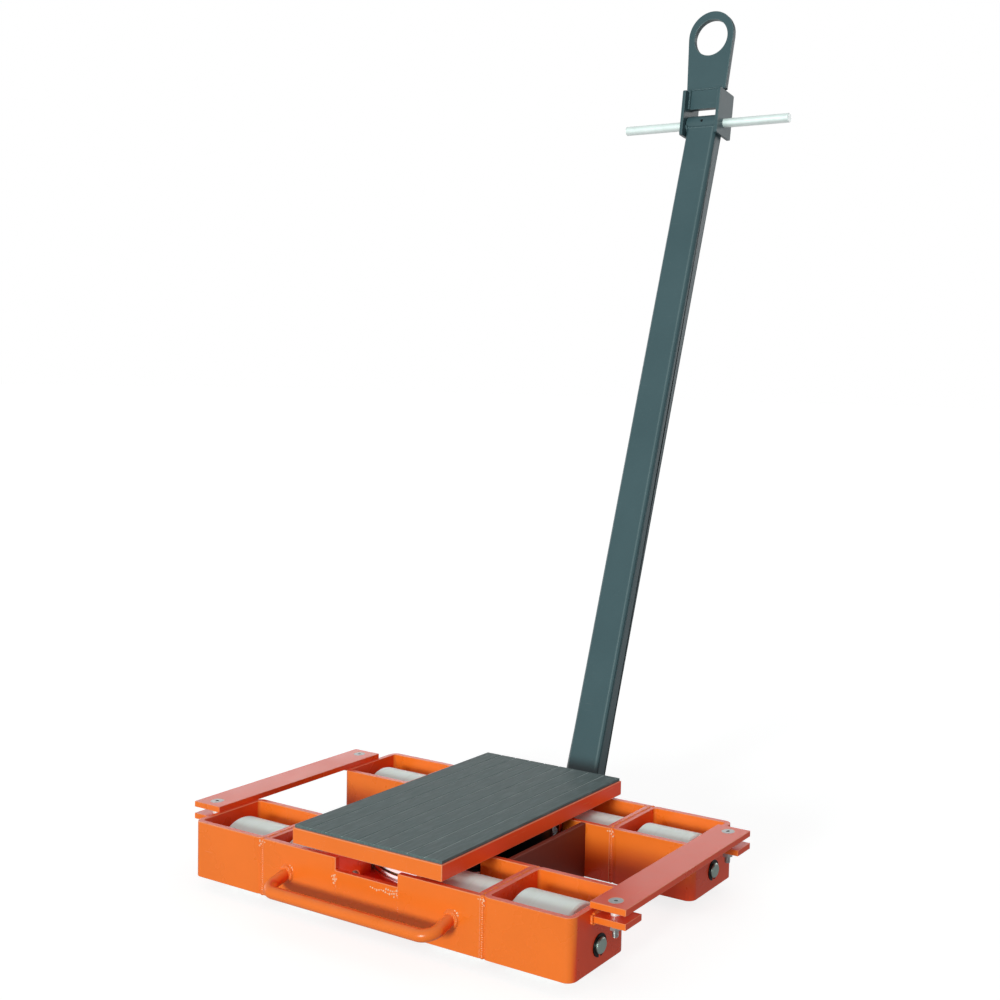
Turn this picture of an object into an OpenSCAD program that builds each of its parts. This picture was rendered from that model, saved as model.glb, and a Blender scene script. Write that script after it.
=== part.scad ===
// Steerable machine skate: a low welded frame on eight rollers, with a swivelling load plate
// and a hinged drawbar. Millimetres, +Z up. The origin is the middle of the load face, on the
// axis of the turntable. X runs along the rollers' axles and the drawbar is on the +Y side.

/* [Frame] */
// Length of the frame along X
frame_l = 630; // [610:1:680]
// Width of the frame along Y
frame_w = 400; // [392:1:440]
// Width of one beam along Y
beam_w = 116; // [108:1:118]
// Height of the frame walls
wall_h = 77; // [74:1:84]
// Thickness of the frame walls
wall_t = 8; // [6:0.5:8]
// Outer corner radius of the roller boxes
corner_r = 12; // [9:0.5:16]
// Height of the walls above the floor
ground_gap = 17.5; // [13:0.5:20]
// Length of a roller box along X
box_l = 133; // [128:1:136]
// Length of the notch in the top of the front wall
notch_l = 104; // [60:1:120]
// Depth of the notch
notch_h = 17; // [8:0.5:24]

/* [Rollers] */
// Diameter of a roller
roller_d = 88; // [80:1:89]
// Length of a roller
roller_l = 86; // [80:1:88]
// Width of the chamfer round a roller's ends
roller_chamfer = 2.5; // [1:0.5:5]
// Gap between an inner roller's end and the wall beside it
roller_gap = 2.5; // [2.5:0.5:4]
// Distance from the middle of a roller box inward to its roller's middle
roller_shift = 3.5; // [0:0.5:6]
// Diameter of an axle
axle_d = 20; // [16:1:22]
// Outer diameter of a roller bearing
bearing_d = 47; // [44:1:52]
// Width of a roller bearing
bearing_w = 14; // [10:1:18]
// Length of an axle that shows beyond the end plate
axle_out = 5; // [4:0.5:8]
// Thickness of an axle clip
clip_t = 1.2; // [1:0.1:2]
// Width of an axle clip round the axle
clip_w = 4; // [2.5:0.5:5]

/* [Turntable] */
// Outer radius of the races
race_r = 130; // [120:1:131]
// Inner radius of the races
race_in_r = 100; // [90:1:105]
// Height of the lower race
race_low_h = 13.5; // [11:0.5:15]
// Height of the upper race
race_up_h = 11.5; // [8:0.5:14]
// Gap between the two races
race_gap = 3; // [2:0.5:4]
// Diameter of the balls between the races
ball_d = 10; // [8:0.5:11]
// Number of the balls
ball_n = 24; // [12:1:30]
// Depth of the bearing seat below the top of the walls
seat_depth = 52; // [46:0.5:56]
// Thickness of the base plate under the bearing
base_t = 8; // [6:0.5:8]
// Outer radius of the hub between the upper race and the load plate
hub_r = 118; // [112:1:125]
// Diameter of the king bolt's thread
king_d = 20; // [16:1:22]
// Diameter of the king bolt's shoulder
shoulder_d = 24; // [24:1:30]
// Diameter of the king bolt's head
king_head_d = 40; // [36:1:48]
// Height of the king bolt's head
king_head_h = 10; // [6:0.5:12]
// Length of the load plate along X
plate_x = 250; // [200:1:280]
// Length of the load plate along Y
plate_y = 406; // [300:1:420]
// Thickness of the load plate
plate_t = 21; // [18:0.5:26]
// Gap between the frame and the load plate
plate_gap = 5.5; // [4:0.5:10]
// Thickness of the rubber pad with its ribs
pad_t = 4; // [3:0.5:8]
// Distance of the pad's edge from the plate's edge
pad_inset = 2; // [0:0.5:10]
// Number of the grooves in the pad
groove_n = 8; // [2:2:14]
// Width of a groove
groove_w = 2; // [1:0.5:6]
// Depth of a groove
groove_h = 0.8; // [0.4:0.1:1.5]

/* [Tie bars] */
// Width of a tie bar along X
bar_w = 50; // [46:1:60]
// Thickness of a tie bar
bar_t = 8; // [7:0.5:12]
// Distance of a tie bar's inner edge outside the roller boxes
bar_in = -3; // [-4:0.5:-1]
// Width of a lug along Y
lug_w = 36; // [30:1:44]
// Thickness of a lug
lug_t = 8; // [6:0.5:12]
// Height of a spacer between a lug and its tie bar
spacer_h = 9; // [6:0.5:14]
// Outer diameter of a spacer
spacer_d = 12; // [12:0.5:16]
// Diameter of a tie bar bolt
bolt_d = 8; // [6:1:10]
// Diameter of a bolt's countersunk head
bolt_head_d = 18; // [16:0.5:20]
// Length of bolt below the nut
bolt_out = 9; // [3:0.5:12]
// Width across the flats of a nut
nut_af = 13; // [13:0.5:19]
// Height of a nut
nut_h = 8; // [6:0.5:10]
// Thickness of a washer
washer_t = 1.6; // [1:0.1:3]
// Diameter of a washer
washer_d = 16; // [16:0.5:24]

/* [Carrying handle] */
// Length of the handle between the middles of its legs
handle_l = 276; // [200:1:300]
// Diameter of the handle bar
handle_d = 16; // [12:0.5:18]
// Length of a leg from the wall to the middle of the bar
handle_out = 40; // [34:0.5:60]
// Height of the handle's legs below the top of the wall
handle_drop = 38; // [30:0.5:44]
// Angle that the handle droops
handle_tilt = 14; // [0:1:25]
// Bend radius at the middle of the handle bar
handle_bend = 18; // [14:0.5:24]

/* [Drawbar] */
// Length of the drawbar from its hinge to the pull rod
drawbar_l = 1182; // [900:1:1300]
// Width of the drawbar tube along X
tube_x = 60; // [50:1:62]
// Depth of the drawbar tube
tube_y = 30; // [28:1:40]
// Wall of the drawbar tube
tube_t = 3; // [2:0.5:4]
// Length of tube below the hinge
tube_low = 26; // [22:0.5:30]
// Distance of the hinge behind the rear wall
hinge_y = 81.5; // [70:0.5:100]
// Height of the hinge below the top of the walls
hinge_drop = 45; // [40:0.5:50]
// Lean of the drawbar from upright at rest
drawbar_lean = 17.5; // [5:0.5:40]
// Diameter of the hinge pin
pin_d = 20; // [16:1:22]
// Thickness of a hinge lug
hinge_lug_t = 10; // [8:0.5:12]
// Radius of a hinge lug's round end
hinge_lug_r = 22; // [18:0.5:24]
// Outer diameter of the hinge bush in the tube
bush_d = 27; // [25:0.5:28]
// Outer diameter of the sleeve at the top of the tube
sleeve_d = 32; // [26:0.5:34]
// Diameter of the pull rod
rod_d = 16; // [14:0.5:18]
// Length of the pull rod
rod_l = 330; // [240:1:400]
// Diameter of the pin that locks the pull rod
lock_d = 5; // [4:0.5:6]

/* [Towing fork] */
// Clear width between the cheeks
fork_gap = 64; // [64:0.5:72]
// Thickness of a cheek
cheek_t = 6; // [5:0.5:10]
// Depth of a cheek
cheek_y = 52; // [44:1:60]
// Height of a cheek above the pull rod
cheek_up = 58; // [50:0.5:64]
// Height of a cheek below the pull rod
cheek_low = 24; // [14:0.5:26]
// Corner radius of a cheek
cheek_r = 3; // [1:0.5:8]
// Lean of the fork from upright at rest
fork_lean = 8; // [0:0.5:20]
// Height of the cross plate's lower edge above the pull rod
cross_low = 26; // [20:0.5:30]
// Thickness of the cross plate and the towing eye
eye_t = 10; // [8:0.5:14]
// Distance of the eye's middle plane in front of the pull rod
eye_front = 6; // [0:0.5:12]
// Height of the towing eye's hole above the pull rod
eye_up = 157; // [140:1:180]
// Diameter of the towing eye's hole
eye_hole_d = 66; // [50:1:68]
// Width of the towing eye round its hole
eye_band = 12; // [10:0.5:20]
// Width of the towing eye's shank
shank_w = 78; // [60:1:84]

/* [Fits] */
// Radial clearance of a running fit
run_fit = 0.08; // [0.03:0.01:0.1]
// Radial clearance of a fixed fit
set_fit = 0.05; // [0.02:0.01:0.1]
// Clearance beside a part that turns
side_fit = 0.3; // [0.2:0.05:0.6]
// Clearance between the races and the frame round them
race_fit = 3; // [2:0.5:3]

/* [Hidden] */
$fn = 96;
cut = 1;
pocket_l = roller_l + 2 * roller_gap;
beam_y = frame_w / 2 - beam_w / 2;
end_x = frame_l / 2;
joint_x = end_x - box_l;
box_x = end_x - box_l / 2;
outer_x = box_x - roller_shift;
pocket_x = joint_x - wall_t - pocket_l;
inner_x = pocket_x + pocket_l / 2;
well_y = frame_w / 2 - beam_w;
load_h = ground_gap + wall_h + plate_gap + plate_t + pad_t;
floor_z = -load_h;
wall_low = floor_z + ground_gap;
wall_top = wall_low + wall_h;
axle_z = floor_z + roller_d / 2;
plate_low = wall_top + plate_gap;
plate_top = plate_low + plate_t;
seat_z = wall_top - seat_depth;
ball_z = seat_z + race_low_h + race_gap / 2;
ball_r = (race_r + race_in_r) / 2;
race_up_z = seat_z + race_low_h + race_gap;
hub_z = race_up_z + race_up_h;
bore_fit = 0.1;
// Bearing rings: share of the ring's width, for a sealed bearing
ring_t = 3.5;
shield_fit = 0.4;
bearing_in_d = axle_d + 2 * ring_t + 2;
// Clips lie in grooves of the axle, one outside the end wall and one inside the pocket wall
groove_depth = 0.75;
axle_in_x = pocket_x - wall_t + 0.5;
axle_end_x = end_x + axle_out;
// Tie bars
bar_x = end_x + bar_in + bar_w / 2;
bar_l = 2 * beam_y + lug_w;
lug_top = wall_top - spacer_h;
lug_out = end_x + bar_in + bar_w;
head_h = (bolt_head_d - bolt_d) / 2;
socket_af = 0.6 * bolt_d;
socket_h = 0.35 * bolt_d;
nut_z = lug_top - lug_t - washer_t - nut_h;
// Hinge
pivot_y = frame_w / 2 + hinge_y;
pivot_z = wall_top - hinge_drop;
disc_t = 2;
lug_in_x = tube_x / 2 + disc_t + side_fit;
lug_out_x = lug_in_x + hinge_lug_t;
pin_head_h = 5;
split_d = 4;
split_x = lug_out_x + 3 + split_d;
pin_end_x = split_x + 5;
// Colours, as red, green and blue
orange = [0.93, 0.46, 0.2];
slate = [0.3, 0.36, 0.38];
zinc = [0.78, 0.8, 0.82];
nylon = [0.83, 0.87, 0.83];
rubber = [0.28, 0.32, 0.32];
steel = [0.62, 0.64, 0.66];
blackened = [0.12, 0.12, 0.13];

// Helpers

module rounded(l, w, r) {
  square([l - 2 * r, w], center = true);
  square([l, w - 2 * r], center = true);
  for (sx = [-1, 1], sy = [-1, 1])
    translate([sx * (l / 2 - r), sy * (w / 2 - r)])
      circle(r);
}

module along_x(d, from_x, to_x) {
  translate([from_x, 0, 0])
    rotate([0, 90, 0])
      cylinder(d = d, h = to_x - from_x);
}

module tube_x_ring(d_out, d_in, from_x, to_x) {
  difference() {
    along_x(d_out, from_x, to_x);
    along_x(d_in, from_x - cut, to_x + cut);
  }
}

module ring(r_out, r_in, h) {
  difference() {
    cylinder(r = r_out, h = h);
    translate([0, 0, -cut])
      cylinder(r = r_in, h = h + 2 * cut);
  }
}

// A block from its lowest corner to its highest one
module block(low, high) {
  translate(low)
    cube(high - low);
}

module four_corners() {
  for (sx = [-1, 1], sy = [-1, 1])
    scale([sx, sy, 1])
      children();
}

module axle_bores(d) {
  for (sy = [-1, 1])
    translate([0, sy * beam_y, axle_z])
      along_x(d + 2 * set_fit, -end_x - cut, end_x + cut);
}

module recess() {
  translate([0, 0, seat_z])
    cylinder(r = race_r + race_fit, h = wall_h);
}

module at_drawbar() {
  translate([0, pivot_y, pivot_z])
    rotate([-drawbar_lean, 0, 0])
      children();
}

module at_fork() {
  at_drawbar()
    translate([0, 0, drawbar_l])
      rotate([drawbar_lean - fork_lean, 0, 0])
        children();
}

module at_tie_bolts() {
  for (sx = [-1, 1], sy = [-1, 1])
    translate([sx * bar_x, sy * beam_y, 0])
      children();
}

// Frame

module roller_box(sx, sy) {
  color(orange)
    difference() {
      translate([sx * box_x, sy * beam_y, wall_low])
        linear_extrude(wall_h)
          difference() {
            rounded(box_l, beam_w, corner_r);
            rounded(box_l - 2 * wall_t, beam_w - 2 * wall_t, corner_r - wall_t);
          }
      axle_bores(axle_d);
    }
}

// The front wall is welded from two long plates with a lower one between them, under the notch
module front_wall() {
  mid_x = notch_l / 2;
  color(orange) {
    for (sx = [-1, 1])
      scale([sx, 1, 1])
        block([mid_x, -frame_w / 2, wall_low], [joint_x, -frame_w / 2 + wall_t, wall_top]);
    block(
      [-mid_x, -frame_w / 2, wall_low],
      [mid_x, -frame_w / 2 + wall_t, wall_top - notch_h]
    );
  }
}

module rear_wall() {
  color(orange)
    block([-joint_x, frame_w / 2 - wall_t, wall_low], [joint_x, frame_w / 2, wall_top]);
}

module inner_walls() {
  color(orange)
    difference() {
      four_corners()
        block([pocket_x - wall_t, well_y, wall_low], [joint_x, well_y + wall_t, wall_top]);
      recess();
    }
}

module pocket_walls() {
  color(orange)
    difference() {
      four_corners()
        block(
          [pocket_x - wall_t, well_y + wall_t, wall_low],
          [pocket_x, frame_w / 2 - wall_t, wall_top]
        );
      recess();
      axle_bores(axle_d);
    }
}

module divider_plates() {
  color(orange)
    difference() {
      four_corners()
        block(
          [joint_x - wall_t, well_y + wall_t, wall_low],
          [joint_x, frame_w / 2 - wall_t, wall_top]
        );
      axle_bores(axle_d);
    }
}

module cross_webs() {
  web_x = race_r + race_fit + 1;
  color(orange)
    for (sx = [-1, 1])
      translate([sx * (web_x + wall_t / 2), 0, (wall_low + wall_top) / 2])
        cube([wall_t, 2 * well_y, wall_h], center = true);
}

module base_plate() {
  web_x = race_r + race_fit + 1;
  narrow_x = pocket_x - wall_t;
  color(orange)
    translate([0, 0, seat_z - base_t])
      difference() {
        union() {
          translate([-narrow_x, -frame_w / 2 + wall_t, 0])
            cube([2 * narrow_x, frame_w - 2 * wall_t, base_t]);
          translate([-web_x, -well_y, 0])
            cube([2 * web_x, 2 * well_y, base_t]);
        }
        translate([0, 0, -cut])
          cylinder(d = king_d + 2 * set_fit, h = base_t + 2 * cut);
      }
}

module handle_bar() {
  leg = handle_out - handle_bend;
  span = handle_l / 2 - handle_bend;
  translate([0, -frame_w / 2, wall_top - handle_drop])
    rotate([handle_tilt, 0, 0]) {
      for (sx = [-1, 1]) {
        translate([sx * handle_l / 2, wall_t, 0])
          rotate([90, 0, 0])
            cylinder(d = handle_d, h = leg + wall_t);
        translate([sx * span, -leg, 0])
          rotate([0, 0, sx > 0 ? -90 : 180])
            rotate_extrude(angle = 90)
              translate([handle_bend, 0])
                circle(d = handle_d);
      }
      translate([0, -handle_out, 0])
        along_x(handle_d, -span, span);
    }
}

module carrying_handle() {
  color(orange)
    difference() {
      handle_bar();
      block([-frame_l, -frame_w / 2, floor_z], [frame_l, 0, wall_top]);
    }
}

module tie_bar_lugs() {
  color(orange)
    difference() {
      four_corners()
        block([end_x, beam_y - lug_w / 2, lug_top - lug_t], [lug_out, beam_y + lug_w / 2, lug_top]);
      at_tie_bolts()
        translate([0, 0, lug_top - lug_t - cut])
          cylinder(d = bolt_d + 2 * bore_fit, h = lug_t + 2 * cut);
    }
}

module seam_fill(height) {
  linear_extrude(height)
    difference() {
      translate([0, -corner_r])
        square([corner_r, corner_r - 1.2]);
      translate([corner_r, -corner_r])
        circle(corner_r);
    }
}

// A bead of three-cornered section, with its corner on the origin and its length along X
module bead(l, w) {
  translate([-l / 2, 0, 0])
    rotate([90, 0, 90])
      linear_extrude(l)
        polygon([[0, 0], [w, 0], [0, w]]);
}

module weld_beads() {
  bead_w = 4;
  short = 3;
  color(orange) {
    for (sy = [-1, 1])
      scale([1, sy, 1])
        four_corners()
          translate([joint_x, sy > 0 ? frame_w / 2 : -well_y, wall_low + short])
            seam_fill(wall_h - 2 * short);
    difference() {
      translate([0, -frame_w / 2, wall_top - handle_drop])
        for (sx = [-1, 1])
          translate([sx * handle_l / 2, 0, 0])
            rotate([90, 0, 0])
              cylinder(d1 = handle_d + 2.2 * bead_w, d2 = handle_d + 1, h = bead_w);
      handle_bar();
    }
    four_corners() {
      translate([end_x, beam_y, lug_top])
        rotate([0, 0, -90])
          bead(lug_w - 2 * short, bead_w);
      translate([end_x, beam_y, lug_top - lug_t])
        scale([1, 1, -1])
          rotate([0, 0, -90])
            bead(lug_w - 2 * short, bead_w);
    }
    for (sx = [-1, 1])
      translate([sx * lug_out_x, frame_w / 2, pivot_z])
        scale([sx, 1, 1])
          rotate([0, -90, 0])
            scale([1, 1, -1])
              bead(2 * hinge_lug_r - 2 * short, bead_w);
  }
}

// Tie bars and their fasteners

module tie_bar(sx) {
  color(orange)
    difference() {
      translate([sx * bar_x, 0, wall_top + bar_t / 2])
        cube([bar_w, bar_l, bar_t], center = true);
      at_tie_bolts() {
        translate([0, 0, wall_top - cut])
          cylinder(d = bolt_d + 2 * bore_fit, h = bar_t + 2 * cut);
        translate([0, 0, wall_top + bar_t - head_h])
          cylinder(d1 = bolt_d + 2 * bore_fit, d2 = bolt_head_d + 2 * bore_fit, h = head_h + 0.01);
      }
    }
}

module tie_bar_bolts() {
  color(zinc)
    at_tie_bolts()
      difference() {
        union() {
          translate([0, 0, wall_top + bar_t - head_h])
            cylinder(d1 = bolt_d, d2 = bolt_head_d, h = head_h);
          translate([0, 0, nut_z - bolt_out])
            cylinder(d = bolt_d, h = wall_top + bar_t - head_h - nut_z + bolt_out);
        }
        translate([0, 0, wall_top + bar_t - socket_h])
          cylinder(d = socket_af / cos(30), h = socket_h + cut, $fn = 6);
      }
}

module tie_bar_spacers() {
  color(zinc)
    at_tie_bolts()
      translate([0, 0, lug_top])
        ring(spacer_d / 2, bolt_d / 2 + bore_fit, spacer_h);
}

module tie_bar_washers() {
  color(zinc)
    at_tie_bolts()
      translate([0, 0, lug_top - lug_t - washer_t])
        ring(washer_d / 2, bolt_d / 2 + bore_fit, washer_t);
}

module hex_nut(af, d, h) {
  difference() {
    cylinder(d = af / cos(30), h = h, $fn = 6);
    translate([0, 0, -cut])
      cylinder(d = d, h = h + 2 * cut);
  }
}

module tie_bar_nuts() {
  color(zinc)
    at_tie_bolts()
      translate([0, 0, nut_z])
        hex_nut(nut_af, bolt_d + 2 * set_fit, nut_h);
}

// Axles, rollers and bearings

module axle_pattern() {
  for (sx = [-1, 1], sy = [-1, 1])
    translate([0, sy * beam_y, axle_z])
      scale([sx, 1, 1])
        children();
}

module axles() {
  chamfer = 1.5;
  color(zinc)
    axle_pattern()
      difference() {
        union() {
          along_x(axle_d, axle_in_x + chamfer, axle_end_x - chamfer);
          translate([axle_end_x - chamfer, 0, 0])
            rotate([0, 90, 0])
              cylinder(d1 = axle_d, d2 = axle_d - 2 * chamfer, h = chamfer);
          translate([axle_in_x, 0, 0])
            rotate([0, 90, 0])
              cylinder(d1 = axle_d - 2 * chamfer, d2 = axle_d, h = chamfer);
        }
        for (x = [pocket_x, end_x])
          tube_x_ring(axle_d + 2, axle_d - 2 * groove_depth, x, x + clip_t);
      }
}

module axle_clips() {
  eye_gap = 5;
  color(blackened)
    axle_pattern()
      for (x = [pocket_x, end_x])
        difference() {
          tube_x_ring(axle_d + 2 * clip_w, axle_d - 2 * groove_depth, x, x + clip_t);
          block([x - cut, -eye_gap / 2, -axle_d], [x + clip_t + cut, eye_gap / 2, 0]);
        }
}

module roller_places() {
  for (x = [inner_x, outer_x])
    translate([x, 0, 0])
      children();
}

// Distance tubes between the walls, the clip and the bearings, from the pocket wall outward
module axle_spacers() {
  half = roller_l / 2;
  spans = [
    [pocket_x + clip_t, inner_x - half],
    [inner_x - half + bearing_w, inner_x + half - bearing_w],
    [inner_x + half, joint_x - wall_t],
    [joint_x + wall_t, outer_x - half],
    [outer_x - half + bearing_w, outer_x + half - bearing_w],
    [outer_x + half, end_x - wall_t]
  ];
  color(steel)
    axle_pattern()
      for (span = spans)
        tube_x_ring(bearing_in_d, axle_d + 2 * set_fit, span[0], span[1]);
}

module bearing_inner_rings() {
  half = roller_l / 2;
  color(steel)
    axle_pattern()
      roller_places()
        for (x = [-half, half - bearing_w])
          tube_x_ring(bearing_in_d, axle_d + 2 * set_fit, x, x + bearing_w);
}

// Rollers 1 to 4 are in the front beam and 5 to 8 in the rear one, each from -X to +X
function roller_at(i) = [
  [-outer_x, -inner_x, inner_x, outer_x][(i - 1) % 4],
  i <= 4 ? -beam_y : beam_y,
  axle_z
];

module roller(i) {
  half = roller_l / 2;
  shoulder_d = bearing_d - 2 * ring_t;
  c = roller_chamfer;
  color(nylon)
    translate(roller_at(i))
      difference() {
        rotate([0, 90, 0])
          rotate_extrude()
            polygon([
              [0, -half], [roller_d / 2 - c, -half], [roller_d / 2, -half + c],
              [roller_d / 2, half - c], [roller_d / 2 - c, half], [0, half]
            ]);
        along_x(shoulder_d, -half - cut, half + cut);
        along_x(bearing_d, -half - cut, -half + bearing_w);
        along_x(bearing_d, half - bearing_w, half + cut);
      }
}

// The outer ring of each sealed bearing, with its seals
module bearings(i) {
  half = roller_l / 2;
  seal_t = 1;
  color(steel)
    translate(roller_at(i))
      for (x = [-half, half - bearing_w])
        difference() {
          along_x(bearing_d - 0.02, x, x + bearing_w);
          along_x(bearing_in_d + 2 * shield_fit, x - cut, x + bearing_w + cut);
          along_x(bearing_d - 2 * ring_t, x + seal_t, x + bearing_w - seal_t);
        }
}

// Turntable

module race_groove() {
  rotate_extrude()
    translate([ball_r, ball_z])
      circle(d = ball_d + 2 * set_fit);
}

module lower_race() {
  band_z = 6;
  band_h = 2.5;
  band_t = 3;
  color(zinc)
    difference() {
      translate([0, 0, seat_z])
        ring(race_r, race_in_r, race_low_h);
      translate([0, 0, seat_z + band_z])
        ring(race_r + cut, race_r - band_t, band_h);
      race_groove();
    }
}

module upper_race() {
  color(zinc)
    difference() {
      translate([0, 0, race_up_z])
        ring(race_r, race_in_r, race_up_h);
      race_groove();
    }
}

module turntable_hub() {
  color(slate)
    translate([0, 0, hub_z])
      ring(hub_r, race_in_r, plate_low - hub_z);
}

module cage_places() {
  for (i = [0 : ball_n - 1])
    rotate([0, 0, i * 360 / ball_n])
      translate([ball_r, 0, ball_z])
        children();
}

module ball_cage() {
  cage_t = race_gap / 2;
  cage_w = 1.6 * ball_d;
  color("goldenrod")
    difference() {
      translate([0, 0, ball_z - cage_t / 2])
        ring(ball_r + cage_w / 2, ball_r - cage_w / 2, cage_t);
      cage_places()
        translate([0, 0, -cage_t])
          cylinder(d = ball_d + 2 * run_fit, h = 2 * cage_t, $fn = 48);
    }
}

module race_balls() {
  color(steel)
    cage_places()
      sphere(d = ball_d, $fn = 32);
}

module king_bolt() {
  head_z = plate_top - side_fit - king_head_h;
  below = 3 + 0.8 * king_d + 4;
  color(zinc)
    difference() {
      union() {
        translate([0, 0, head_z])
          cylinder(d = king_head_d, h = king_head_h);
        translate([0, 0, seat_z])
          cylinder(d = shoulder_d, h = head_z - seat_z);
        translate([0, 0, seat_z - base_t - below])
          cylinder(d = king_d, h = base_t + below);
      }
      translate([0, 0, plate_top - king_head_h * 0.7])
        cylinder(d = 0.7 * king_d / cos(30), h = king_head_h, $fn = 6);
    }
}

module king_nut() {
  king_washer_t = 3;
  nut_z0 = seat_z - base_t - king_washer_t - 0.8 * king_d;
  color(zinc) {
    translate([0, 0, seat_z - base_t - king_washer_t])
      ring(0.92 * king_d, king_d / 2 + bore_fit, king_washer_t);
    translate([0, 0, nut_z0])
      hex_nut(1.5 * king_d, king_d + 2 * set_fit, 0.8 * king_d);
  }
}

module load_plate() {
  head_pocket = king_head_h + 2 * side_fit;
  color(orange)
    difference() {
      translate([-plate_x / 2, -plate_y / 2, plate_low])
        cube([plate_x, plate_y, plate_t]);
      translate([0, 0, plate_low - cut])
        cylinder(d = shoulder_d + 2 * run_fit, h = plate_t + 2 * cut);
      translate([0, 0, plate_top - head_pocket])
        cylinder(d = king_head_d + 2 * side_fit, h = head_pocket + cut);
    }
}

module rubber_pad() {
  pad_x = plate_x - 2 * pad_inset;
  pad_y = plate_y - 2 * pad_inset;
  pitch = pad_x / (groove_n + 1);
  color(rubber)
    translate([0, 0, plate_top])
      difference() {
        translate([-pad_x / 2, -pad_y / 2, 0])
          cube([pad_x, pad_y, pad_t]);
        for (i = [1 : groove_n])
          translate([-pad_x / 2 + i * pitch - groove_w / 2, -pad_y / 2 - cut, pad_t - groove_h])
            cube([groove_w, pad_y + 2 * cut, groove_h + cut]);
      }
}

// Drawbar hinge

module hinge_lugs() {
  color(orange)
    for (sx = [-1, 1])
      translate([sx * (lug_in_x + lug_out_x) / 2, frame_w / 2, pivot_z])
        rotate([90, 0, 90])
          linear_extrude(hinge_lug_t, center = true)
            difference() {
              union() {
                translate([0, -hinge_lug_r])
                  square([hinge_y, 2 * hinge_lug_r]);
                translate([hinge_y, 0])
                  circle(hinge_lug_r);
              }
              translate([hinge_y, 0])
                circle(d = pin_d + 2 * set_fit);
            }
}

module hinge_pin() {
  color(zinc)
    translate([0, pivot_y, pivot_z])
      difference() {
        union() {
          along_x(pin_d, -lug_out_x, pin_end_x);
          along_x(1.4 * pin_d, -lug_out_x - pin_head_h, -lug_out_x);
        }
        translate([split_x, 0, -pin_d])
          cylinder(d = split_d + 2 * set_fit, h = 2 * pin_d);
      }
}

module hinge_discs() {
  outer_t = 3;
  color(zinc)
    translate([0, pivot_y, pivot_z]) {
      for (sx = [-1, 1])
        scale([sx, 1, 1])
          tube_x_ring(1.7 * pin_d, pin_d + 2 * bore_fit, tube_x / 2 + side_fit, lug_in_x);
      tube_x_ring(1.7 * pin_d, pin_d + 2 * bore_fit, lug_out_x, lug_out_x + outer_t);
    }
}

module hinge_split_pin() {
  out = 5;
  color(zinc)
    translate([split_x, pivot_y, pivot_z - pin_d / 2 - out])
      cylinder(d = split_d, h = pin_d + 2 * out);
}

// Drawbar

module drawbar_tube() {
  top = drawbar_l - 0.4 * sleeve_d;
  corner = 3;
  color(slate)
    at_drawbar()
      difference() {
        translate([0, 0, -tube_low])
          linear_extrude(top + tube_low)
            difference() {
              rounded(tube_x, tube_y, corner);
              square([tube_x - 2 * tube_t, tube_y - 2 * tube_t], center = true);
            }
        along_x(bush_d, -tube_x, tube_x);
        translate([0, 0, drawbar_l])
          along_x(sleeve_d, -tube_x, tube_x);
      }
}

module hinge_bush() {
  color(slate)
    at_drawbar()
      tube_x_ring(bush_d, pin_d + 2 * run_fit, -tube_x / 2, tube_x / 2);
}

module rod_sleeve() {
  half = fork_gap / 2 - 1;
  color(slate)
    at_drawbar()
      translate([0, 0, drawbar_l])
        difference() {
          tube_x_ring(sleeve_d, rod_d + 2 * set_fit, -half, half);
          rotate([90, 0, 0])
            cylinder(d = lock_d + 2 * set_fit, h = 2 * sleeve_d, center = true);
        }
}

module pull_rod() {
  chamfer = 1;
  color(zinc)
    at_drawbar()
      translate([0, 0, drawbar_l])
        difference() {
          union() {
            along_x(rod_d, -rod_l / 2 + chamfer, rod_l / 2 - chamfer);
            for (sx = [-1, 1])
              scale([sx, 1, 1])
                translate([rod_l / 2 - chamfer, 0, 0])
                  rotate([0, 90, 0])
                    cylinder(d1 = rod_d, d2 = rod_d - 2 * chamfer, h = chamfer);
          }
          rotate([90, 0, 0])
            cylinder(d = lock_d + 2 * set_fit, h = 2 * rod_d, center = true);
        }
}

module rod_lock_pin() {
  color(blackened)
    at_drawbar()
      translate([0, 0, drawbar_l])
        rotate([90, 0, 0])
          cylinder(d = lock_d, h = sleeve_d, center = true);
}

// Towing fork

module fork_cheeks() {
  mid_z = (cheek_up - cheek_low) / 2;
  half = fork_gap / 2;
  cross_h = cheek_up + 4 - cross_low;
  color(slate)
    at_fork() {
      for (sx = [-1, 1])
        difference() {
          translate([sx * (half + cheek_t / 2), 0, mid_z])
            rotate([0, 90, 0])
              linear_extrude(cheek_t, center = true)
                rounded(cheek_up + cheek_low, cheek_y, cheek_r);
          along_x(rod_d + 2 * run_fit, -2 * fork_gap, 2 * fork_gap);
        }
      translate([-half, -eye_front - eye_t / 2, cross_low])
        cube([fork_gap, eye_t, cross_h]);
    }
}

module towing_eye() {
  ring_r = eye_hole_d / 2 + eye_band;
  ring_up = 3;
  foot_z = cheek_up + 4;
  half = shank_w / 2;
  // The shank's sides run from its foot to where they touch the ring
  rise = eye_up - foot_z;
  reach = norm([half, rise]);
  side_l = sqrt(reach * reach - ring_r * ring_r);
  side_a = atan2(rise, -half) - asin(ring_r / reach);
  touch = [half + side_l * cos(side_a), foot_z + side_l * sin(side_a)];
  color(slate)
    at_fork()
      translate([0, -eye_front, 0])
        rotate([90, 0, 0])
          linear_extrude(eye_t, center = true)
            difference() {
              union() {
                polygon([[-half, foot_z], [half, foot_z], touch, [-touch[0], touch[1]]]);
                translate([0, eye_up])
                  circle(ring_r);
                translate([0, eye_up + ring_up])
                  circle(ring_r);
              }
              translate([0, eye_up])
                circle(d = eye_hole_d);
            }
}

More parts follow.
